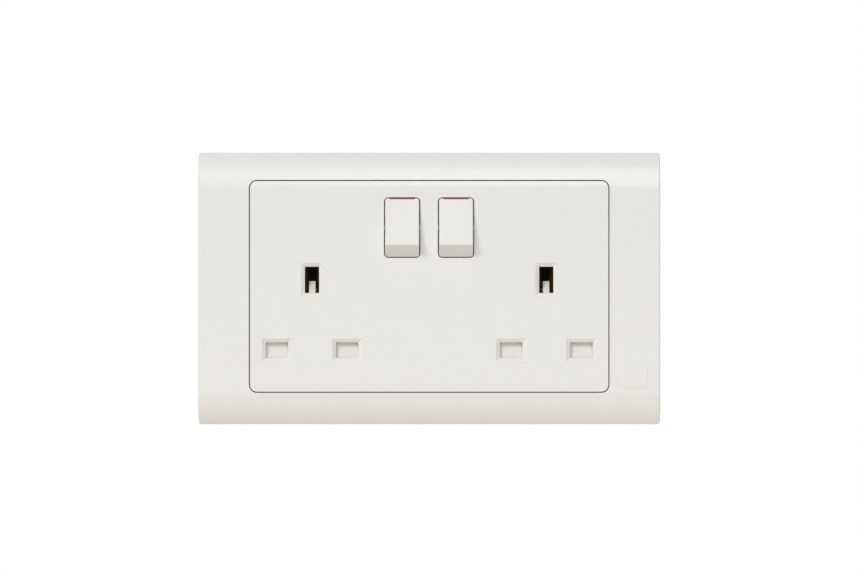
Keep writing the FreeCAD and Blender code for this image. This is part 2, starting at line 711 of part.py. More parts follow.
def shutter_cover(side):
    x = span(outlet_x(side), 2 * COVER_REACH)
    y = (COVER_FRONT, COVER_BACK)
    through = (COVER_FRONT - BEYOND, COVER_BACK + BEYOND)
    plate = rounded_block(x, y, (COVER_BOTTOM, COVER_TOP), MODULE_CORNER)
    holes = [
        (outlet_x(side), EARTH_RISE, EARTH_HOLE_WIDTH, EARTH_HOLE_HEIGHT),
        (neutral_x(side), PIN_ROW, LIVE_HOLE_WIDTH, LIVE_HOLE_HEIGHT),
        (line_x(side), PIN_ROW, LIVE_HOLE_WIDTH, LIVE_HOLE_HEIGHT),
    ]
    cuts = []
    for hole_x, hole_z, width, height in holes:
        hole_span_x = grown(span(hole_x, width), COVER_HOLE_CLEARANCE)
        cuts.append(box(hole_span_x, through, grown(span(hole_z, height), COVER_HOLE_CLEARANCE)))
    for dowel_x, dowel_z in dowel_places(side):
        start = V(dowel_x, through[0], dowel_z)
        cuts.append(rod(start, ALONG_Y, DOWEL_RADIUS + DOWEL_GAP, COVER_THICKNESS + 2 * BEYOND))
    for screw_x, screw_z in screw_places():
        start = V(screw_x, through[0], screw_z)
        cuts.append(rod(start, ALONG_Y, BOSS_RADIUS + RAIL_GAP, COVER_THICKNESS + 2 * BEYOND))
    cuts.append(rocker_window(side, COLLAR_WALL + RAIL_GAP, through))
    return plate.cut(cuts)


# Conductors


def clip_base(x):
    """The patch of strip from which a pair of live jaws is folded."""
    return (span(x, CLIP_WIDTH), span(PIN_ROW, 2 * (JAW_HEEL + JAW_THICKNESS)))


def line_patches(side):
    web_x = span(side * LINE_WEB_X, LINE_WEB_WIDTH)
    pad_x = span(rocker_x(side), SEESAW_WIDTH)
    arm_x = (min(web_x[0], pad_x[0]), max(web_x[1], pad_x[1]))
    arm_z = span(FIXED_TIP_Z, LINK_WIDTH)
    clip_x, clip_z = clip_base(line_x(side))
    run_z = span(LINE_RUN_RISE, LINK_WIDTH)
    run_x = (min(clip_x[0], web_x[0]), max(clip_x[1], web_x[1]))
    return [
        (clip_x, (clip_z[0], run_z[1])),
        (run_x, run_z),
        (web_x, (run_z[0], arm_z[1])),
        (arm_x, arm_z),
    ]


def neutral_patches():
    link_z = span(NEUTRAL_LINK_RISE, LINK_WIDTH)
    left_x, clip_z = clip_base(neutral_x(SIDES["left"]))
    right_x, _ = clip_base(neutral_x(SIDES["right"]))
    return [
        (left_x, (clip_z[0], link_z[1])),
        (right_x, (clip_z[0], link_z[1])),
        ((left_x[0], right_x[1]), link_z),
        (span(-TERMINAL_PITCH, LINK_WIDTH), (TAB_END, link_z[1])),
    ]


def earth_patches():
    link_z = span(EARTH_RISE, LINK_WIDTH)
    base_width = 2 * (JAW_HEEL + JAW_THICKNESS)
    base_z = span(EARTH_RISE, EARTH_JAW_WIDTH)
    patches = [(span(outlet_x(side), base_width), base_z) for side in SIDES.values()]
    patches.append(((outlet_x(-1), outlet_x(1)), link_z))
    patches.append((span(0, LINK_WIDTH), (TAB_END, link_z[1])))
    return patches


def feed_patches():
    cross_z = span(ROCKER_RISE, FEED_CROSS_WIDTH)
    tab_x = span(TERMINAL_PITCH, LINK_WIDTH)
    return [
        (tab_x, (TAB_END, cross_z[1])),
        ((rocker_x(-1) - SEESAW_WIDTH / 2, tab_x[1]), cross_z),
    ]


def live_jaw_patches(xs):
    """The outline that live jaws take up, seen from the front."""
    mouth = 2 * (JAW_MOUTH + JAW_THICKNESS)
    return [(span(x, CLIP_WIDTH), span(PIN_ROW, mouth)) for x in xs]


def earth_jaw_patches():
    mouth = 2 * (JAW_MOUTH + JAW_THICKNESS)
    return [(span(outlet_x(side), mouth), span(EARTH_RISE, EARTH_JAW_WIDTH)) for side in SIDES.values()]


def flat_strip(patches, plane):
    return fused([box(x, (plane, plane + STRIP), z) for x, z in patches])


def strip_relief(patches, plane):
    """The channel, open to the front, that a strip is laid into."""
    y = (BODY_FRONT - BEYOND, plane + STRIP)
    return [box(grown(x, RELIEF_GAP), y, grown(z, RELIEF_GAP)) for x, z in patches]


def jaws(plane, width):
    """Two sprung leaves, above and below the origin, that grip a pin between them."""
    inner = [
        (plane + STRIP / 2, JAW_HEEL),
        (BODY_FRONT + JAW_PINCH_DEPTH, JAW_PINCH),
        (BODY_FRONT + JAW_MOUTH_DEPTH, JAW_MOUTH),
    ]
    outer = [(y, reach + JAW_THICKNESS) for y, reach in reversed(inner)]
    leaves = []
    for sign in (-1, 1):
        outline = [V(-width / 2, y, sign * reach) for y, reach in inner + outer]
        leaves.append(prism(outline, V(width, 0, 0)))
    return leaves


def live_jaws(x, plane):
    return [leaf.translated(V(x, 0, PIN_ROW)) for leaf in jaws(plane, CLIP_WIDTH)]


def earth_jaws(x):
    upright = [leaf.rotated(V(0, 0, 0), ALONG_Y, 90) for leaf in jaws(EARTH_PLANE, EARTH_JAW_WIDTH)]
    return [leaf.translated(V(x, 0, EARTH_RISE)) for leaf in upright]


def fulcrum(side):
    """The knife edge pressed forward from the feed bar, on which the see-saw rocks."""
    crest = SEESAW_Y + SEESAW_THICKNESS / 2 / math.cos(SEESAW_HALF_SWING) + FULCRUM_GAP
    half_base = (LINE_PLANE - crest) * FULCRUM_SLOPE
    left = rocker_x(side) - SEESAW_WIDTH / 2
    outline = [
        V(left, LINE_PLANE, ROCKER_RISE - half_base),
        V(left, crest, ROCKER_RISE),
        V(left, LINE_PLANE, ROCKER_RISE + half_base),
    ]
    return prism(outline, V(SEESAW_WIDTH, 0, 0))


def line_contact(side):
    return fused([flat_strip(line_patches(side), LINE_PLANE)] + live_jaws(line_x(side), LINE_PLANE))


def neutral_strip():
    clips = [jaw for side in SIDES.values() for jaw in live_jaws(neutral_x(side), NEUTRAL_PLANE)]
    return fused([flat_strip(neutral_patches(), NEUTRAL_PLANE)] + clips)


def earth_strip():
    clips = [jaw for side in SIDES.values() for jaw in earth_jaws(outlet_x(side))]
    through = (EARTH_PLANE - BEYOND, EARTH_PLANE + STRIP + BEYOND)
    notch_z = (EARTH_RISE - EARTH_NOTCH_DROP, EARTH_RISE + EARTH_JAW_WIDTH / 2 + BEYOND)
    notches = [box(span(outlet_x(side), EARTH_NOTCH_WIDTH), through, notch_z) for side in SIDES.values()]
    return fused([flat_strip(earth_patches(), EARTH_PLANE).cut(notches)] + clips)


def line_feed_bar():
    return fused([flat_strip(feed_patches(), LINE_PLANE)] + [fulcrum(side) for side in SIDES.values()])


# Terminals


TERMINALS = {
    "neutral_terminal": (-TERMINAL_PITCH, NEUTRAL_PLANE),
    "earth_terminal": (0.0, EARTH_PLANE),
    "line_terminal": (TERMINAL_PITCH, LINE_PLANE),
}


def pillar_block(x, grow):
    y = (LINE_PLANE - PILLAR_FORWARD, BODY_BACK)
    return box(grown(span(x, PILLAR_WIDTH), grow), grown(y, grow), grown((PILLAR_BOTTOM, PILLAR_TOP), grow))


def clamp_screw_z():
    return PILLAR_BOTTOM + CLAMP_SCREW_RISE


def wire_bore_y():
    return (LINE_PLANE - PILLAR_FORWARD + BODY_BACK) / 2


def terminal(x, plane):
    """A brass pillar with a wire bore, a clamp screw hole and a slot for its strip's tab."""
    bore_start = V(x, wire_bore_y(), PILLAR_BOTTOM - BEYOND)
    bore = rod(bore_start, ALONG_Z, WIRE_BORE_RADIUS, WIRE_BORE_DEPTH + BEYOND)
    screw_hole_start = V(x, wire_bore_y(), clamp_screw_z())
    screw_hole = rod(screw_hole_start, ALONG_Y, CLAMP_SCREW_RADIUS + SCREW_THREAD_GAP, BODY_BACK)
    slot_y = grown((plane, plane + STRIP), TAB_GAP)
    slot_z = (PILLAR_TOP - TAB_SLOT_DEPTH, PILLAR_TOP + BEYOND)
    slot = box(span(x, LINK_WIDTH + 2 * TAB_GAP), slot_y, slot_z)
    return pillar_block(x, 0).cut([bore, screw_hole, slot])


def slotted_screw(tip, radius, length, head_radius, head_height):
    """A cheese-head screw pointing forward, with a driving slot in its head."""
    seat = tip + V(0, length, 0)
    top = seat.y + head_height
    body = fused([rod(tip, ALONG_Y, radius, length), rod(seat, ALONG_Y, head_radius, head_height)])
    slot_x = span(tip.x, 2 * head_radius + BEYOND)
    slot = box(slot_x, (top - DRIVE_SLOT_DEPTH, top + BEYOND), span(tip.z, DRIVE_SLOT_WIDTH))
    return body.cut(slot)


def terminal_screws():
    tip_y = wire_bore_y() + WIRE_BORE_RADIUS + CLAMP_TIP_GAP
    length = BODY_BACK + CLAMP_HEAD_STAND_OFF - tip_y
    screws = []
    for x, _ in TERMINALS.values():
        tip = V(x, tip_y, clamp_screw_z())
        screws.append(slotted_screw(tip, CLAMP_SCREW_RADIUS, length, CLAMP_HEAD_RADIUS, CLAMP_HEAD_HEIGHT))
    return Part.makeCompound(screws)


def assembly_screws():
    length = screw_seat_y() - screw_tip_y()
    screws = []
    for x, z in screw_places():
        tip = V(x, screw_tip_y(), z)
        screws.append(slotted_screw(tip, SCREW_RADIUS, length, SCREW_HEAD_RADIUS, SCREW_HEAD_HEIGHT))
    return Part.makeCompound(screws)


# Rear body


def body_partitions():
    """Walls that part the poles and back the shutter covers."""
    y = (BODY_FRONT, EARTH_PLANE)
    chamber_x = TERMINAL_BLOCK_WIDTH / 2
    wall_x = BODY_WIDTH / 2 - BODY_WALL
    bottom = BODY_BOTTOM + BODY_WALL
    below_earth = EARTH_RISE - EARTH_JAW_WIDTH / 2 - PARTITION
    walls = []
    for side in SIDES.values():
        outward = sorted((side * chamber_x, side * wall_x))
        walls.append(box(span(side * chamber_x, PARTITION), y, (bottom, BODY_TOP - BODY_WALL)))
        walls.append(box(outward, y, span(below_earth, PARTITION)))
        walls.append(box(outward, y, (COVER_TOP - PARTITION, COVER_TOP)))
        walls.append(box(span(outlet_x(side), PARTITION), y, (bottom, below_earth)))
    walls.append(box(span(0, PARTITION), y, (COVER_TOP, BODY_TOP - BODY_WALL)))
    return walls


def screw_column(x, z):
    return rod(V(x, BODY_FRONT, z), ALONG_Y, COLUMN_RADIUS, BODY_BACK - BODY_FRONT)


def screw_passage(x, z):
    """A clearance hole with a deep counterbore from the back."""
    shank = rod(V(x, BODY_FRONT - BEYOND, z), ALONG_Y, SCREW_RADIUS + SCREW_GAP, BODY_BACK - BODY_FRONT)
    head = rod(V(x, screw_seat_y(), z), ALONG_Y, SCREW_HEAD_RADIUS + 2 * SCREW_GAP, BODY_BACK)
    return shank.fuse(head)


def core_pockets():
    """Recesses in the back, clear of the neutral and earth channels, that even out the wall."""
    y = (BODY_BACK - CORE_DEPTH, BODY_BACK + BEYOND)
    reach = UPPER_SCREW_X - COLUMN_RADIUS
    pitch = 2 * reach / CORE_COUNT
    upper_z = (COVER_TOP + CORE_RIB / 2, BODY_TOP - CORE_RIB)
    pockets = []
    for index in range(CORE_COUNT):
        middle = -reach + (index + 0.5) * pitch
        pockets.append(box(span(middle, pitch - CORE_RIB), y, upper_z))
    lower_z = span(LOWER_CORE_Z, LOWER_CORE_SIZE)
    for side in SIDES.values():
        pockets.append(box(span(side * LOWER_CORE_X, LOWER_CORE_SIZE), y, lower_z))
    return pockets


def wire_barriers():
    """Fins in the wire notch that keep the three wires apart."""
    y = (LINE_PLANE - PILLAR_FORWARD, BODY_BACK)
    z = (BODY_BOTTOM, PILLAR_BOTTOM)
    return [box(span(side * TERMINAL_PITCH / 2, PARTITION), y, z) for side in SIDES.values()]


def is_back_edge(edge):
    return edge.BoundBox.YMin > BODY_BACK - TOUCHING


def rear_body():
    x = span(0, BODY_WIDTH)
    z = (BODY_BOTTOM, BODY_TOP)
    block = rounded_block(x, (BODY_FRONT, BODY_BACK), z, BODY_CORNER)
    block = block.makeChamfer(BODY_BACK_BEVEL, [edge for edge in block.Edges if is_back_edge(edge)])
    floor = LINE_PLANE + STRIP
    cavity = box(grown(x, -BODY_WALL), (BODY_FRONT - BEYOND, floor), grown(z, -BODY_WALL))
    terminal_x = span(0, TERMINAL_BLOCK_WIDTH)
    terminal_z = (BODY_BOTTOM, TERMINAL_BLOCK_TOP)
    terminal_block = box(terminal_x, (BODY_FRONT - 2 * BEYOND, BODY_BACK), terminal_z)
    tray = block.cut(cavity.cut(terminal_block))
    columns = [screw_column(*place).common(block) for place in screw_places()]
    partitions = [wall.common(block) for wall in body_partitions()]
    tray = fused([tray] + columns + partitions)
    notch_x = span(0, WIRE_NOTCH_WIDTH)
    notch_z = (BODY_BOTTOM - BEYOND, PILLAR_BOTTOM)
    cuts = [box(notch_x, (BODY_FRONT - BEYOND, BODY_BACK + BEYOND), notch_z)]
    cuts += [pillar_block(pillar_x, PILLAR_GAP) for pillar_x, _ in TERMINALS.values()]
    cuts += [screw_passage(*place) for place in screw_places()]
    for side in SIDES.values():
        cuts += strip_relief(line_patches(side) + live_jaw_patches([line_x(side)]), LINE_PLANE)
    neutral_jaws = live_jaw_patches([neutral_x(side) for side in SIDES.values()])
    cuts += strip_relief(feed_patches(), LINE_PLANE)
    cuts += strip_relief(neutral_patches() + neutral_jaws, NEUTRAL_PLANE)
    cuts += strip_relief(earth_patches() + earth_jaw_patches(), EARTH_PLANE)
    cuts += core_pockets()
    return fused([tray.cut(cuts)] + wire_barriers())


def socket_pieces():
    pieces = {
        "outer_frame": outer_frame(),
        "front_plate": front_plate(),
        "rear_body": rear_body(),
        "neutral_strip": neutral_strip(),
        "earth_strip": earth_strip(),
        "line_feed_bar": line_feed_bar(),
        "terminal_screws": terminal_screws(),
        "assembly_screws": assembly_screws(),
    }
    for name, (x, plane) in TERMINALS.items():
        pieces[name] = terminal(x, plane)
    paired = [
        rocker,
        plunger,
        plunger_spring,
        moving_contact,
        moving_contact_tip,
        fixed_contact_tip,
        line_contact,
        shutter,
        shutter_spring,
        shutter_cover,
    ]
    for make in paired:
        for name, side in SIDES.items():
            pieces[f"{make.__name__}_{name}"] = make(side)
    return pieces


os.makedirs("parts", exist_ok=True)
for name, shape in socket_pieces().items():
    shape.exportStep(f"parts/{name}.step")
    print(name, "solids", len(shape.Solids), "volume", round(shape.Volume, 2), "valid", shape.isValid())
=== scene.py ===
import json
import math

import bmesh
import bpy
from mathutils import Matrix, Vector


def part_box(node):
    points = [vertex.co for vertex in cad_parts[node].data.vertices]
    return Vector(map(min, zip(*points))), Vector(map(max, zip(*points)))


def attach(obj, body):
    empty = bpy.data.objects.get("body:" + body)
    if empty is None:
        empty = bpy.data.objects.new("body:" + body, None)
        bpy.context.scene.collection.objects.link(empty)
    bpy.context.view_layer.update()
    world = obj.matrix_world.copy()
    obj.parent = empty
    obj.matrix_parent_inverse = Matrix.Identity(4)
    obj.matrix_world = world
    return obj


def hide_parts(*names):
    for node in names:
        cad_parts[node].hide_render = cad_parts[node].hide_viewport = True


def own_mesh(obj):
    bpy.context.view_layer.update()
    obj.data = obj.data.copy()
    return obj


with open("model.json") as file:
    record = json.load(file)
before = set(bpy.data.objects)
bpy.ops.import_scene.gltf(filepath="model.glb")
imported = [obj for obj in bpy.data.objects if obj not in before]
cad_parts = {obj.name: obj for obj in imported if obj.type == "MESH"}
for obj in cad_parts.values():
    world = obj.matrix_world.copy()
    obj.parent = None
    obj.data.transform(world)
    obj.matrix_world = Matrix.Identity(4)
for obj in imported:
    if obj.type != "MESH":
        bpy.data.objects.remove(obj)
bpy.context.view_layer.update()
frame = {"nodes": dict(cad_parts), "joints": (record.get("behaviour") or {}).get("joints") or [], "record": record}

# Sizes in millimetres become metres through this value
MM = 0.001
UP = Vector((0, 0, 1))
SIDES = ("left", "right")

# The photograph's frame, and where and how large the plate's front lies in it
IMAGE_WIDTH = 859
IMAGE_HEIGHT = 576
PIXELS_PER_MM = 3.168
PLATE_CENTRE_PX = (429.15, 288.4)
CAMERA_DISTANCE = 1250 * MM
SENSOR_WIDTH = 36.0

# Studio lamps, in degrees to the right and up, and in millimetres
# A share of 1 alone would show a white that faces the lamp as it is written
WHITE = "#FFFFFF"
ROOM_SHARE = 0.32
ROOM_COLOUR = "#F4F8FF"
LAMPS = {
    "key_softbox": {
        "share": 0.40, "colour": "#FFFEFC", "size": (1100, 1100),
        "right": -36, "rise": 36, "distance": 3600,
    },
    "top_softbox": {
        "share": 0.145, "colour": WHITE, "size": (820, 1790),
        "right": 4, "rise": 25.7, "distance": 2600,
    },
    "low_fill": {
        "share": 0.17, "colour": WHITE, "size": (1200, 300),
        "right": 0, "rise": -10, "distance": 1400,
    },
    "rear_softbox": {
        "share": 0.36, "colour": WHITE, "size": (700, 700),
        "right": 150, "rise": 35, "distance": 1200,
    },
}

# The lamp that only fills shadows, and leaves no highlight
UNMIRRORED_LAMP = "low_fill"

# Floor: pale and warm under the object, fading into the white room at its rim
FLOOR_DROP = 150 * MM
FLOOR_RADIUS = 480 * MM
FLOOR_FADE_START = 280 * MM
FLOOR_FADE_END = 460 * MM
FLOOR_SEGMENTS = 96

# The mix node repeats its socket names for each kind of value, so its colours go by number
MIX_FIRST = 6
MIX_SECOND = 7
MIX_RESULT = 2

# Noise lies mostly between these two values, which a pattern spreads over its own range
NOISE_SPAN = (0.3, 0.7)

# How many times longer than wide the rolling lines of brass strip are drawn
ROLLING_STRETCH = 25

# The urea mouldings: roughness of the smoothest and the dullest spots, and the two whites that mix
PLATE_POLISH = (0.16, 0.20)
PLATE_WHITES = ("#ECEBE7", "#EDECE9")
ROCKER_POLISH = (0.32, 0.38)
ROCKER_WHITES = ("#E8E7E3", "#E9E8E5")

# Red mark printed on each rocker's top edge, seen in full when the switch is on
MARK_RED = "#A5504D"
MARK_WIDTH = 8.0 * MM
MARK_LAP = 0.30 * MM
MARK_DEPTH = 2.6 * MM
MARK_BLUR = 0.12 * MM

# Bare plate that stands a little proud of the frame, near its lower right corner
PLAQUE_SIZE = (7.9 * MM, 6.4 * MM)
PLAQUE_CENTRE = (65.1 * MM, -28.1 * MM)
PLAQUE_CORNER = 0.5 * MM
PLAQUE_RISE = 0.12 * MM
PLAQUE_BEVEL = 0.12 * MM
PLAQUE_ROOT = 0.1 * MM
CORNER_STEPS = 6

# Coil springs
SPRING_TURNS = {"shutter_spring": 8.5, "plunger_spring": 6.5}
STEPS_PER_TURN = 28
CLOSED_TURNS = 1
WIRE_ROUNDNESS = 4


# Colours, nodes and patterns


def linear(colour):
    """A #rrggbb colour as linear red, green, blue and alpha, by the sRGB curve."""
    channels = [int(colour[start:start + 2], 16) / 255 for start in (1, 3, 5)]
    return [c / 12.92 if c <= 0.04045 else ((c + 0.055) / 1.055) ** 2.4 for c in channels] + [1.0]


def per_size(millimetres):
    """A pattern's scale, from the real size of one of its features."""
    return 1 / (millimetres * MM)


def add(tree, kind, inputs=None, **settings):
    """Adds a node with its settings, and sets or links its inputs by name or number."""
    made = tree.nodes.new(kind)
    for name, value in settings.items():
        setattr(made, name, value)
    for name, value in (inputs or {}).items():
        if isinstance(value, bpy.types.NodeSocket):
            tree.links.new(value, made.inputs[name])
        else:
            made.inputs[name].default_value = value
    return made


def material(name, paint, *choices):
    """A material whose surface is the shader that a paint function makes.

    The paint function is given where a point is on its own piece, so that a pattern moves with the piece.
    """
    made = bpy.data.materials.new(name)
    made.use_nodes = True
    tree = made.node_tree
    tree.nodes.clear()
    place = add(tree, "ShaderNodeTexCoord").outputs["Object"]
    shader = paint(tree, place, *choices)
    add(tree, "ShaderNodeOutputMaterial", {"Surface": shader.outputs[0]})
    return made


def mottle(tree, place, size, low=0.0, high=1.0, detail=3.0):
    """A soft cloudy pattern with features of a size in millimetres, between two values."""
    noise = add(tree, "ShaderNodeTexNoise", {"Vector": place, "Scale": per_size(size), "Detail": detail})
    spread = {
        "Value": noise.outputs["Fac"],
        "From Min": NOISE_SPAN[0],
        "From Max": NOISE_SPAN[1],
        "To Min": low,
        "To Max": high,
    }
    return add(tree, "ShaderNodeMapRange", spread).outputs["Result"]


def clouded(tree, place, first, second, **pattern):
    """A colour that drifts from a first to a second by a cloudy pattern."""
    mixed = {"Factor": mottle(tree, place, **pattern), MIX_FIRST: first, MIX_SECOND: second}
    return add(tree, "ShaderNodeMix", mixed, data_type="RGBA").outputs[MIX_RESULT]


def relief(tree, place, size, height, detail=2.0):
    """A fine bumpy texture: features of a size, raised by a height, both in millimetres."""
    noise = add(tree, "ShaderNodeTexNoise", {"Vector": place, "Scale": per_size(size), "Detail": detail})
    bump = {"Height": noise.outputs["Fac"], "Distance": height * MM, "Strength": 1.0}
    return add(tree, "ShaderNodeBump", bump).outputs["Normal"]


# Materials


def urea_moulding(tree, place, polish, whites, mark=None):
    """White urea resin, press moulded in a polished tool, or in a lightly blasted one.

    It gives an even, slightly warm white: soft-edged highlights with no mirror image where the tool
    was polished, and a duller satin sheen where it was blasted.
    """
    smoothest, dullest = polish
    colour = clouded(tree, place, linear(whites[0]), linear(whites[1]), size=9.0)
    if mark:
        printed = {"Factor": mark_share(tree, place, mark), MIX_FIRST: colour, MIX_SECOND: linear(MARK_RED)}
        colour = add(tree, "ShaderNodeMix", printed, data_type="RGBA").outputs[MIX_RESULT]
    inputs = {
        "Base Color": colour,
        "Roughness": mottle(tree, place, size=1.6, low=smoothest, high=dullest),
        # The tool's grain is near 0.1 mm, and is drawn coarser so that it shows close up
        "Normal": relief(tree, place, size=0.45, height=0.0016),
        "IOR": 1.55,
    }
    return add(tree, "ShaderNodeBsdfPrincipled", inputs)


def mark_share(tree, place, mark):
    """How much of the printed mark lies on a point: a strip over a rocker's top edge."""
    centre_x, top_z, front_y = mark
    parts = add(tree, "ShaderNodeSeparateXYZ", {"Vector": place})
    across = add(tree, "ShaderNodeMath", {0: parts.outputs["X"], 1: centre_x}, operation="SUBTRACT")
    aside = add(tree, "ShaderNodeMath", {0: across.outputs[0]}, operation="ABSOLUTE")
    edges = [
        (aside.outputs[0], MARK_WIDTH / 2 + MARK_BLUR, MARK_WIDTH / 2 - MARK_BLUR),
        (parts.outputs["Z"], top_z - MARK_LAP - MARK_BLUR, top_z - MARK_LAP + MARK_BLUR),
        (parts.outputs["Y"], front_y + MARK_DEPTH + MARK_BLUR, front_y + MARK_DEPTH - MARK_BLUR),
    ]
    share = 1.0
    for value, bare, printed in edges:
        ramp = add(tree, "ShaderNodeMapRange", {"Value": value, "From Min": bare, "From Max": printed})
        share = add(tree, "ShaderNodeMath", {0: ramp.outputs[0], 1: share}, operation="MULTIPLY").outputs[0]
    return share


def acetal_moulding(tree, place):
    """White acetal, injection moulded in a blasted tool: a shade greyer and duller than the plate."""
    inputs = {
        "Base Color": clouded(tree, place, linear("#E4E1DA"), linear("#E8E5DF"), size=5.0),
        "Roughness": mottle(tree, place, size=1.2, low=0.46, high=0.54),
        "Normal": relief(tree, place, size=0.7, height=0.0012),
        "IOR": 1.48,
    }
    return add(tree, "ShaderNodeBsdfPrincipled", inputs)


def natural_nylon(tree, place):
    """Uncoloured nylon, injection moulded: a creamy, slightly waxy off-white with faint flow clouds."""
    inputs = {
        "Base Color": clouded(tree, place, linear("#DCD7C6"), linear("#E6E2D4"), size=4.0),
        "Roughness": mottle(tree, place, size=1.2, low=0.40, high=0.50),
        "Normal": relief(tree, place, size=0.6, height=0.002),
        "IOR": 1.53,
        "Subsurface Weight": 0.12,
        "Subsurface Radius": (0.6 * MM, 0.5 * MM, 0.4 * MM),
        "Subsurface Scale": 1.0,
    }
    return add(tree, "ShaderNodeBsdfPrincipled", inputs)


def phenolic_moulding(tree, place):
    """Black mineral-filled resin, compression moulded: matt, with grey filler specks and flow clouds."""
    body = clouded(tree, place, linear("#121213"), linear("#1B1B1C"), size=7.0)
    # A range that starts so far below 0 leaves only the peaks of the noise, as specks
    specked = clouded(tree, place, body, linear("#323232"), size=0.35, low=-1.6, detail=1.0)
    inputs = {
        "Base Color": specked,
        "Roughness": mottle(tree, place, size=2.2, low=0.52, high=0.66),
        "Normal": relief(tree, place, size=0.5, height=0.006),
        "IOR": 1.6,
    }
    return add(tree, "ShaderNodeBsdfPrincipled", inputs)


def rolled_brass(tree, place):
    """Half-hard brass strip, rolled and stamped: warm yellow with fine rolling lines and light tarnish."""
    stretch = {"Vector": place, "Scale": (1 / ROLLING_STRETCH, 1.0, 1.0)}
    drawn_out = add(tree, "ShaderNodeMapping", stretch).outputs["Vector"]
    inputs = {
        "Base Color": clouded(tree, place, linear("#E6CA92"), linear("#CEAE74"), size=3.5, high=0.8),
        "Metallic": 1.0,
        # Rolling lines are near 0.05 mm apart, and are drawn coarser so that they show
        "Roughness": mottle(tree, drawn_out, size=0.22, low=0.46, high=0.62),
        "Normal": relief(tree, drawn_out, size=0.22, height=0.0015),
    }
    return add(tree, "ShaderNodeBsdfPrincipled", inputs)


def sawn_brass(tree, place):
    """Free-cutting brass bar, sawn, drilled and tumbled: bright, softly worn, with small dings."""
    inputs = {
        "Base Color": clouded(tree, place, linear("#E6CB8C"), linear("#C4A264"), size=2.5, high=0.7),
        "Metallic": 1.0,
        "Roughness": mottle(tree, place, size=0.8, low=0.20, high=0.36),
        "Normal": relief(tree, place, size=0.9, height=0.008),
    }
    return add(tree, "ShaderNodeBsdfPrincipled", inputs)


def zinc_plate(tree, place):
    """Steel screws with bright zinc plate: cool silver with a faint blue and yellow passivated bloom."""
    inputs = {
        "Base Color": clouded(tree, place, linear("#C3C8CF"), linear("#D2CFC2"), size=1.8),
        "Metallic": 1.0,
        "Roughness": mottle(tree, place, size=0.5, low=0.20, high=0.34),
        "Normal": relief(tree, place, size=0.5, height=0.003),
    }
    return add(tree, "ShaderNodeBsdfPrincipled", inputs)


def contact_silver(tree, place):
    """Silver alloy contact faces, coined to a dome: pale, soft-bright, with a grey sulphide bloom."""
    inputs = {
        "Base Color": clouded(tree, place, linear("#E6E4DF"), linear("#B9B6AE"), size=0.7, high=0.6),
        "Metallic": 1.0,
        "Roughness": mottle(tree, place, size=0.4, low=0.24, high=0.36),
    }
    return add(tree, "ShaderNodeBsdfPrincipled", inputs)


def spring_steel(tree, place):
    """Hard-drawn steel wire: mid grey and bright along the wire, with drawing lines too fine to see."""
    inputs = {
        "Base Color": clouded(tree, place, linear("#9C9FA2"), linear("#B4B6B8"), size=0.8),
        "Metallic": 1.0,
        "Roughness": mottle(tree, place, size=0.3, low=0.20, high=0.32),
    }
    return add(tree, "ShaderNodeBsdfPrincipled", inputs)


def seen_directly(tree):
    """1 for what the camera, a reflection or a clear piece looks at, 0 for light that falls on things."""
    path = add(tree, "ShaderNodeLightPath").outputs
    share = path["Is Camera Ray"]
    for ray in ("Is Glossy Ray", "Is Transmission Ray"):
        share = add(tree, "ShaderNodeMath", {0: share, 1: path[ray]}, operation="MAXIMUM").outputs[0]
    return share


def studio_floor(tree, place):
    """Pale painted board: it keeps the object's shadow and fades to the white of the room at its rim."""
    away = add(tree, "ShaderNodeVectorMath", {0: place}, operation="LENGTH").outputs["Value"]
    span = {"Value": away, "From Min": FLOOR_FADE_START, "From Max": FLOOR_FADE_END}
    rim = add(tree, "ShaderNodeMapRange", span, interpolation_type="SMOOTHSTEP").outputs["Result"]
    faded = add(tree, "ShaderNodeMath", {0: rim, 1: seen_directly(tree)}, operation="MULTIPLY").outputs[0]
    paint = {
        "Base Color": clouded(tree, place, linear("#F1E6D8"), linear("#F4EADE"), size=6.0),
        "Roughness": 0.7,
    }
    board = add(tree, "ShaderNodeBsdfPrincipled", paint).outputs[0]
    white = add(tree, "ShaderNodeEmission", {"Color": linear(WHITE), "Strength": 1.0}).outputs[0]
    return add(tree, "ShaderNodeMixShader", {0: faded, 1: board, 2: white})


def finish_cad_nodes():
    """Gives every CAD node the material of its record slot, and each rocker its own printed mark."""
    white_urea = material("white_urea_moulding", urea_moulding, PLATE_POLISH, PLATE_WHITES)
    by_slot = {
        "frame_moulding": white_urea,
        "plate_moulding": white_urea,
        "shutter_moulding": material("white_acetal", acetal_moulding),
        "cover_moulding": material("natural_nylon", natural_nylon),
        "body_moulding": material("black_phenolic_moulding", phenolic_moulding),
        "spring_wire": material("spring_steel", spring_steel),
        "contact_brass": material("rolled_brass", rolled_brass),
        "terminal_brass": material("sawn_brass", sawn_brass),
        "contact_silver": material("contact_silver", contact_silver),
        "plated_steel": material("zinc_plated_steel", zinc_plate),
    }
    face_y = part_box("front_plate")[0].y
    for side in SIDES:
        low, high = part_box(f"rocker_{side}")
        mark = ((low.x + high.x) / 2, high.z, face_y)
        finish = (ROCKER_POLISH, ROCKER_WHITES, mark)
        by_slot[f"rocker_{side}"] = material(f"marked_urea_{side}", urea_moulding, *finish)
    for row in frame["record"]["subparts"]:
        node = frame["nodes"][row["node"]]
        chosen = by_slot.get(row["node"]) or by_slot[row["material_slot"]]
        node.data.materials.clear()
        node.data.materials.append(chosen)
    return by_slot


def put_in_scene(name, data):
    """A new object in the scene, from a mesh, a lamp or a camera."""
    made = bpy.data.objects.new(name, data)
    bpy.context.scene.collection.objects.link(made)
    return made


# Plaque


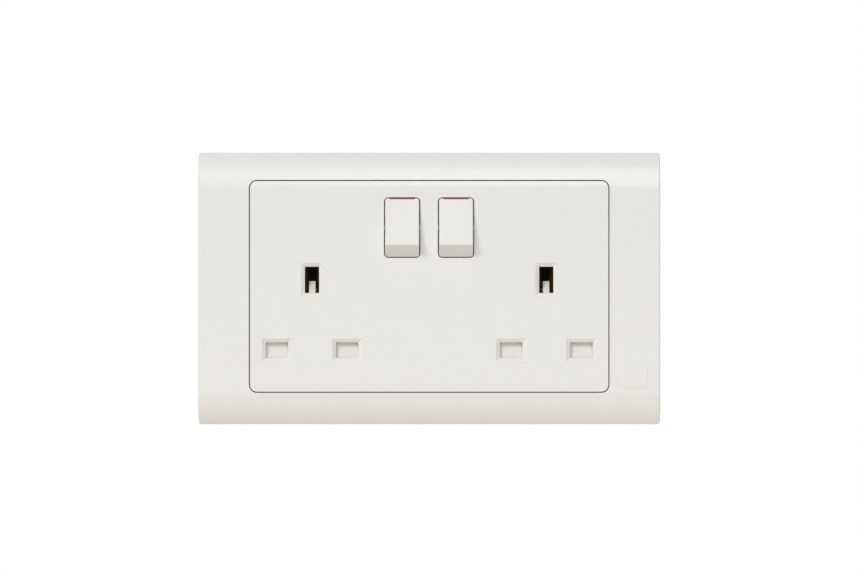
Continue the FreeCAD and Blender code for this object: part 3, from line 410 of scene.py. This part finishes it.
def rounded_outline(width, height, corner):
    """Points round a rectangle with rounded corners, about its centre."""
    points = []
    for quarter, (side, rise) in enumerate(((1, 1), (-1, 1), (-1, -1), (1, -1))):
        for step in range(CORNER_STEPS + 1):
            angle = math.pi / 2 * (quarter + step / CORNER_STEPS)
            across = side * (width / 2 - corner) + corner * math.cos(angle)
            up = rise * (height / 2 - corner) + corner * math.sin(angle)
            points.append((across, up))
    return points


def raise_plaque(moulding):
    """A bare plate moulded on the frame: its root in the face, a bevelled edge and a flat top."""
    face_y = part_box("outer_frame")[0].y
    width, height = PLAQUE_SIZE
    centre_x, centre_z = PLAQUE_CENTRE
    levels = [
        (face_y + PLAQUE_ROOT, 0.0),
        (face_y - PLAQUE_RISE + PLAQUE_BEVEL, 0.0),
        (face_y - PLAQUE_RISE, PLAQUE_BEVEL),
    ]
    form = bmesh.new()
    rings = []
    for depth, inset in levels:
        outline = rounded_outline(width - 2 * inset, height - 2 * inset, PLAQUE_CORNER - inset)
        rings.append([form.verts.new((centre_x + x, depth, centre_z + z)) for x, z in outline])
    for lower, upper in zip(rings, rings[1:]):
        for index in range(len(lower)):
            after = (index + 1) % len(lower)
            form.faces.new((lower[index], lower[after], upper[after], upper[index]))
    form.faces.new(rings[0])
    form.faces.new(rings[-1])
    bmesh.ops.recalc_face_normals(form, faces=form.faces)
    mesh = bpy.data.meshes.new("frame_plaque")
    form.to_mesh(mesh)
    form.free()
    mesh.materials.append(moulding)
    plaque = put_in_scene("frame_plaque", mesh)
    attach(plaque, "housing")


# Springs


def joint(name):
    """The row of a joint in the frame."""
    return next(row for row in frame["joints"] if row["name"] == name)


def tube_form(node, axis):
    """The foot, length, outer radius and wall of a CAD tube along an axis."""
    points = [vertex.co for vertex in frame["nodes"][node].data.vertices]
    heights = [point.dot(axis) for point in points]
    low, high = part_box(node)
    centre = (low + high) / 2
    radii = [(point - centre).cross(axis).length for point in points]
    foot = centre + axis * (min(heights) - centre.dot(axis))
    return foot, max(heights) - min(heights), max(radii), max(radii) - min(radii)


def coil_height(turn, turns, wire, length):
    """How high a coil has climbed after some turns: close wound at both ends and open between."""
    open_pitch = (length - wire - 2 * CLOSED_TURNS * wire) / (turns - 2 * CLOSED_TURNS)
    first = min(turn, CLOSED_TURNS)
    last = max(turn - (turns - CLOSED_TURNS), 0)
    return wire / 2 + (first + last) * wire + (turn - first - last) * open_pitch


def coil_spring(name, node, axis, turns):
    """A wire spring wound in the space of a CAD tube."""
    foot, length, outer, wire = tube_form(node, axis)
    across = axis.orthogonal().normalized()
    beside = axis.cross(across)
    line = bpy.data.curves.new(name, "CURVE")
    line.dimensions = "3D"
    line.bevel_depth = wire / 2
    line.bevel_resolution = WIRE_ROUNDNESS
    line.use_fill_caps = True
    winding = line.splines.new("POLY")
    steps = round(turns * STEPS_PER_TURN)
    winding.points.add(steps)
    radius = outer - wire / 2
    for step in range(steps + 1):
        turn = step / STEPS_PER_TURN
        angle = 2 * math.pi * turn
        outward = across * math.cos(angle) + beside * math.sin(angle)
        point = foot + outward * radius + axis * coil_height(turn, turns, wire, length)
        winding.points[step].co = (*point, 1.0)
    bent = bpy.data.objects.new(name, line)
    mesh = bpy.data.meshes.new_from_object(bent)
    bpy.data.objects.remove(bent)
    mesh.name = name
    for face in mesh.polygons:
        face.use_smooth = True
    return put_in_scene(name, mesh)


def wind_springs(steel):
    """The four springs: two that shut the shutters, two behind the plungers."""
    for side in SIDES:
        tube = f"shutter_spring_{side}"
        closing = coil_spring(f"shutter_coil_{side}", tube, UP, SPRING_TURNS["shutter_spring"])
        closing.data.materials.append(steel)
        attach(closing, "housing")
        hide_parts(tube)
        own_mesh(closing)

        tube = f"plunger_spring_{side}"
        axis = Vector(joint(f"{side}_plunger_slide")["axis"]).normalized()
        snapping = coil_spring(f"plunger_coil_{side}", tube, axis, SPRING_TURNS["plunger_spring"])
        snapping.data.materials.append(steel)
        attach(snapping, f"{side}_rocker")
        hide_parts(tube)


# Studio


def lay_floor():
    """A round board some way below the object."""
    rim = bmesh.new()
    bmesh.ops.create_circle(rim, cap_ends=True, segments=FLOOR_SEGMENTS, radius=FLOOR_RADIUS)
    mesh = bpy.data.meshes.new("studio_floor")
    rim.to_mesh(mesh)
    rim.free()
    mesh.materials.append(material("pale_painted_board", studio_floor))
    floor = put_in_scene("studio_floor", mesh)
    floor.location.z = -FLOOR_DROP


def aim(thing, place, target):
    """Puts a lamp or the camera in its place, turned to a target."""
    thing.location = place
    thing.rotation_euler = (target - place).to_track_quat("-Z", "Y").to_euler()


def hang_lamps(target):
    """Soft boxes, each turned to the object from its own side and height."""
    for name, row in LAMPS.items():
        turn = math.radians(row["right"])
        rise = math.radians(row["rise"])
        distance = row["distance"] * MM
        away = Vector((math.sin(turn) * math.cos(rise), -math.cos(turn) * math.cos(rise), math.sin(rise)))
        lamp = bpy.data.lights.new(name, "AREA")
        lamp.shape = "RECTANGLE"
        lamp.size, lamp.size_y = (length * MM for length in row["size"])
        lamp.color = linear(row["colour"])[:3]
        # The power that lights a white surface at this distance to the lamp's share
        lamp.energy = row["share"] * math.pi ** 2 * distance ** 2
        softbox = put_in_scene(name, lamp)
        softbox.visible_camera = False
        softbox.visible_glossy = name != UNMIRRORED_LAMP
        aim(softbox, target + away * distance, target)


def paint_room():
    """A room that looks white and sends a little even light from all sides."""
    room = bpy.data.worlds.new("white_room")
    bpy.context.scene.world = room
    room.use_nodes = True
    tree = room.node_tree
    tree.nodes.clear()
    light = add(tree, "ShaderNodeBackground", {"Color": linear(ROOM_COLOUR), "Strength": ROOM_SHARE})
    white = add(tree, "ShaderNodeBackground", {"Color": linear(WHITE), "Strength": 1.0})
    inputs = {0: seen_directly(tree), 1: light.outputs[0], 2: white.outputs[0]}
    shown = add(tree, "ShaderNodeMixShader", inputs)
    add(tree, "ShaderNodeOutputWorld", {"Surface": shown.outputs[0]})


def set_camera(target):
    """Looks straight at the plate from the front, as the photograph does."""
    right_px = PLATE_CENTRE_PX[0] - IMAGE_WIDTH / 2
    down_px = PLATE_CENTRE_PX[1] - IMAGE_HEIGHT / 2
    aside = Vector((-right_px, 0, down_px)) * MM / PIXELS_PER_MM
    view = bpy.data.cameras.new("camera")
    view.sensor_width = SENSOR_WIDTH
    view.lens = SENSOR_WIDTH * CAMERA_DISTANCE * PIXELS_PER_MM / (IMAGE_WIDTH * MM)
    camera = put_in_scene("camera", view)
    aim(camera, target + aside - Vector((0, CAMERA_DISTANCE, 0)), target + aside)
    bpy.context.scene.camera = camera


# The whole scene

finishes = finish_cad_nodes()
raise_plaque(finishes["frame_moulding"])
wind_springs(finishes["spring_wire"])
plate_front = Vector((0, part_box("outer_frame")[0].y, 0))
lay_floor()
paint_room()
hang_lamps(plate_front)
set_camera(plate_front)
bpy.context.scene.view_settings.view_transform = "Standard"
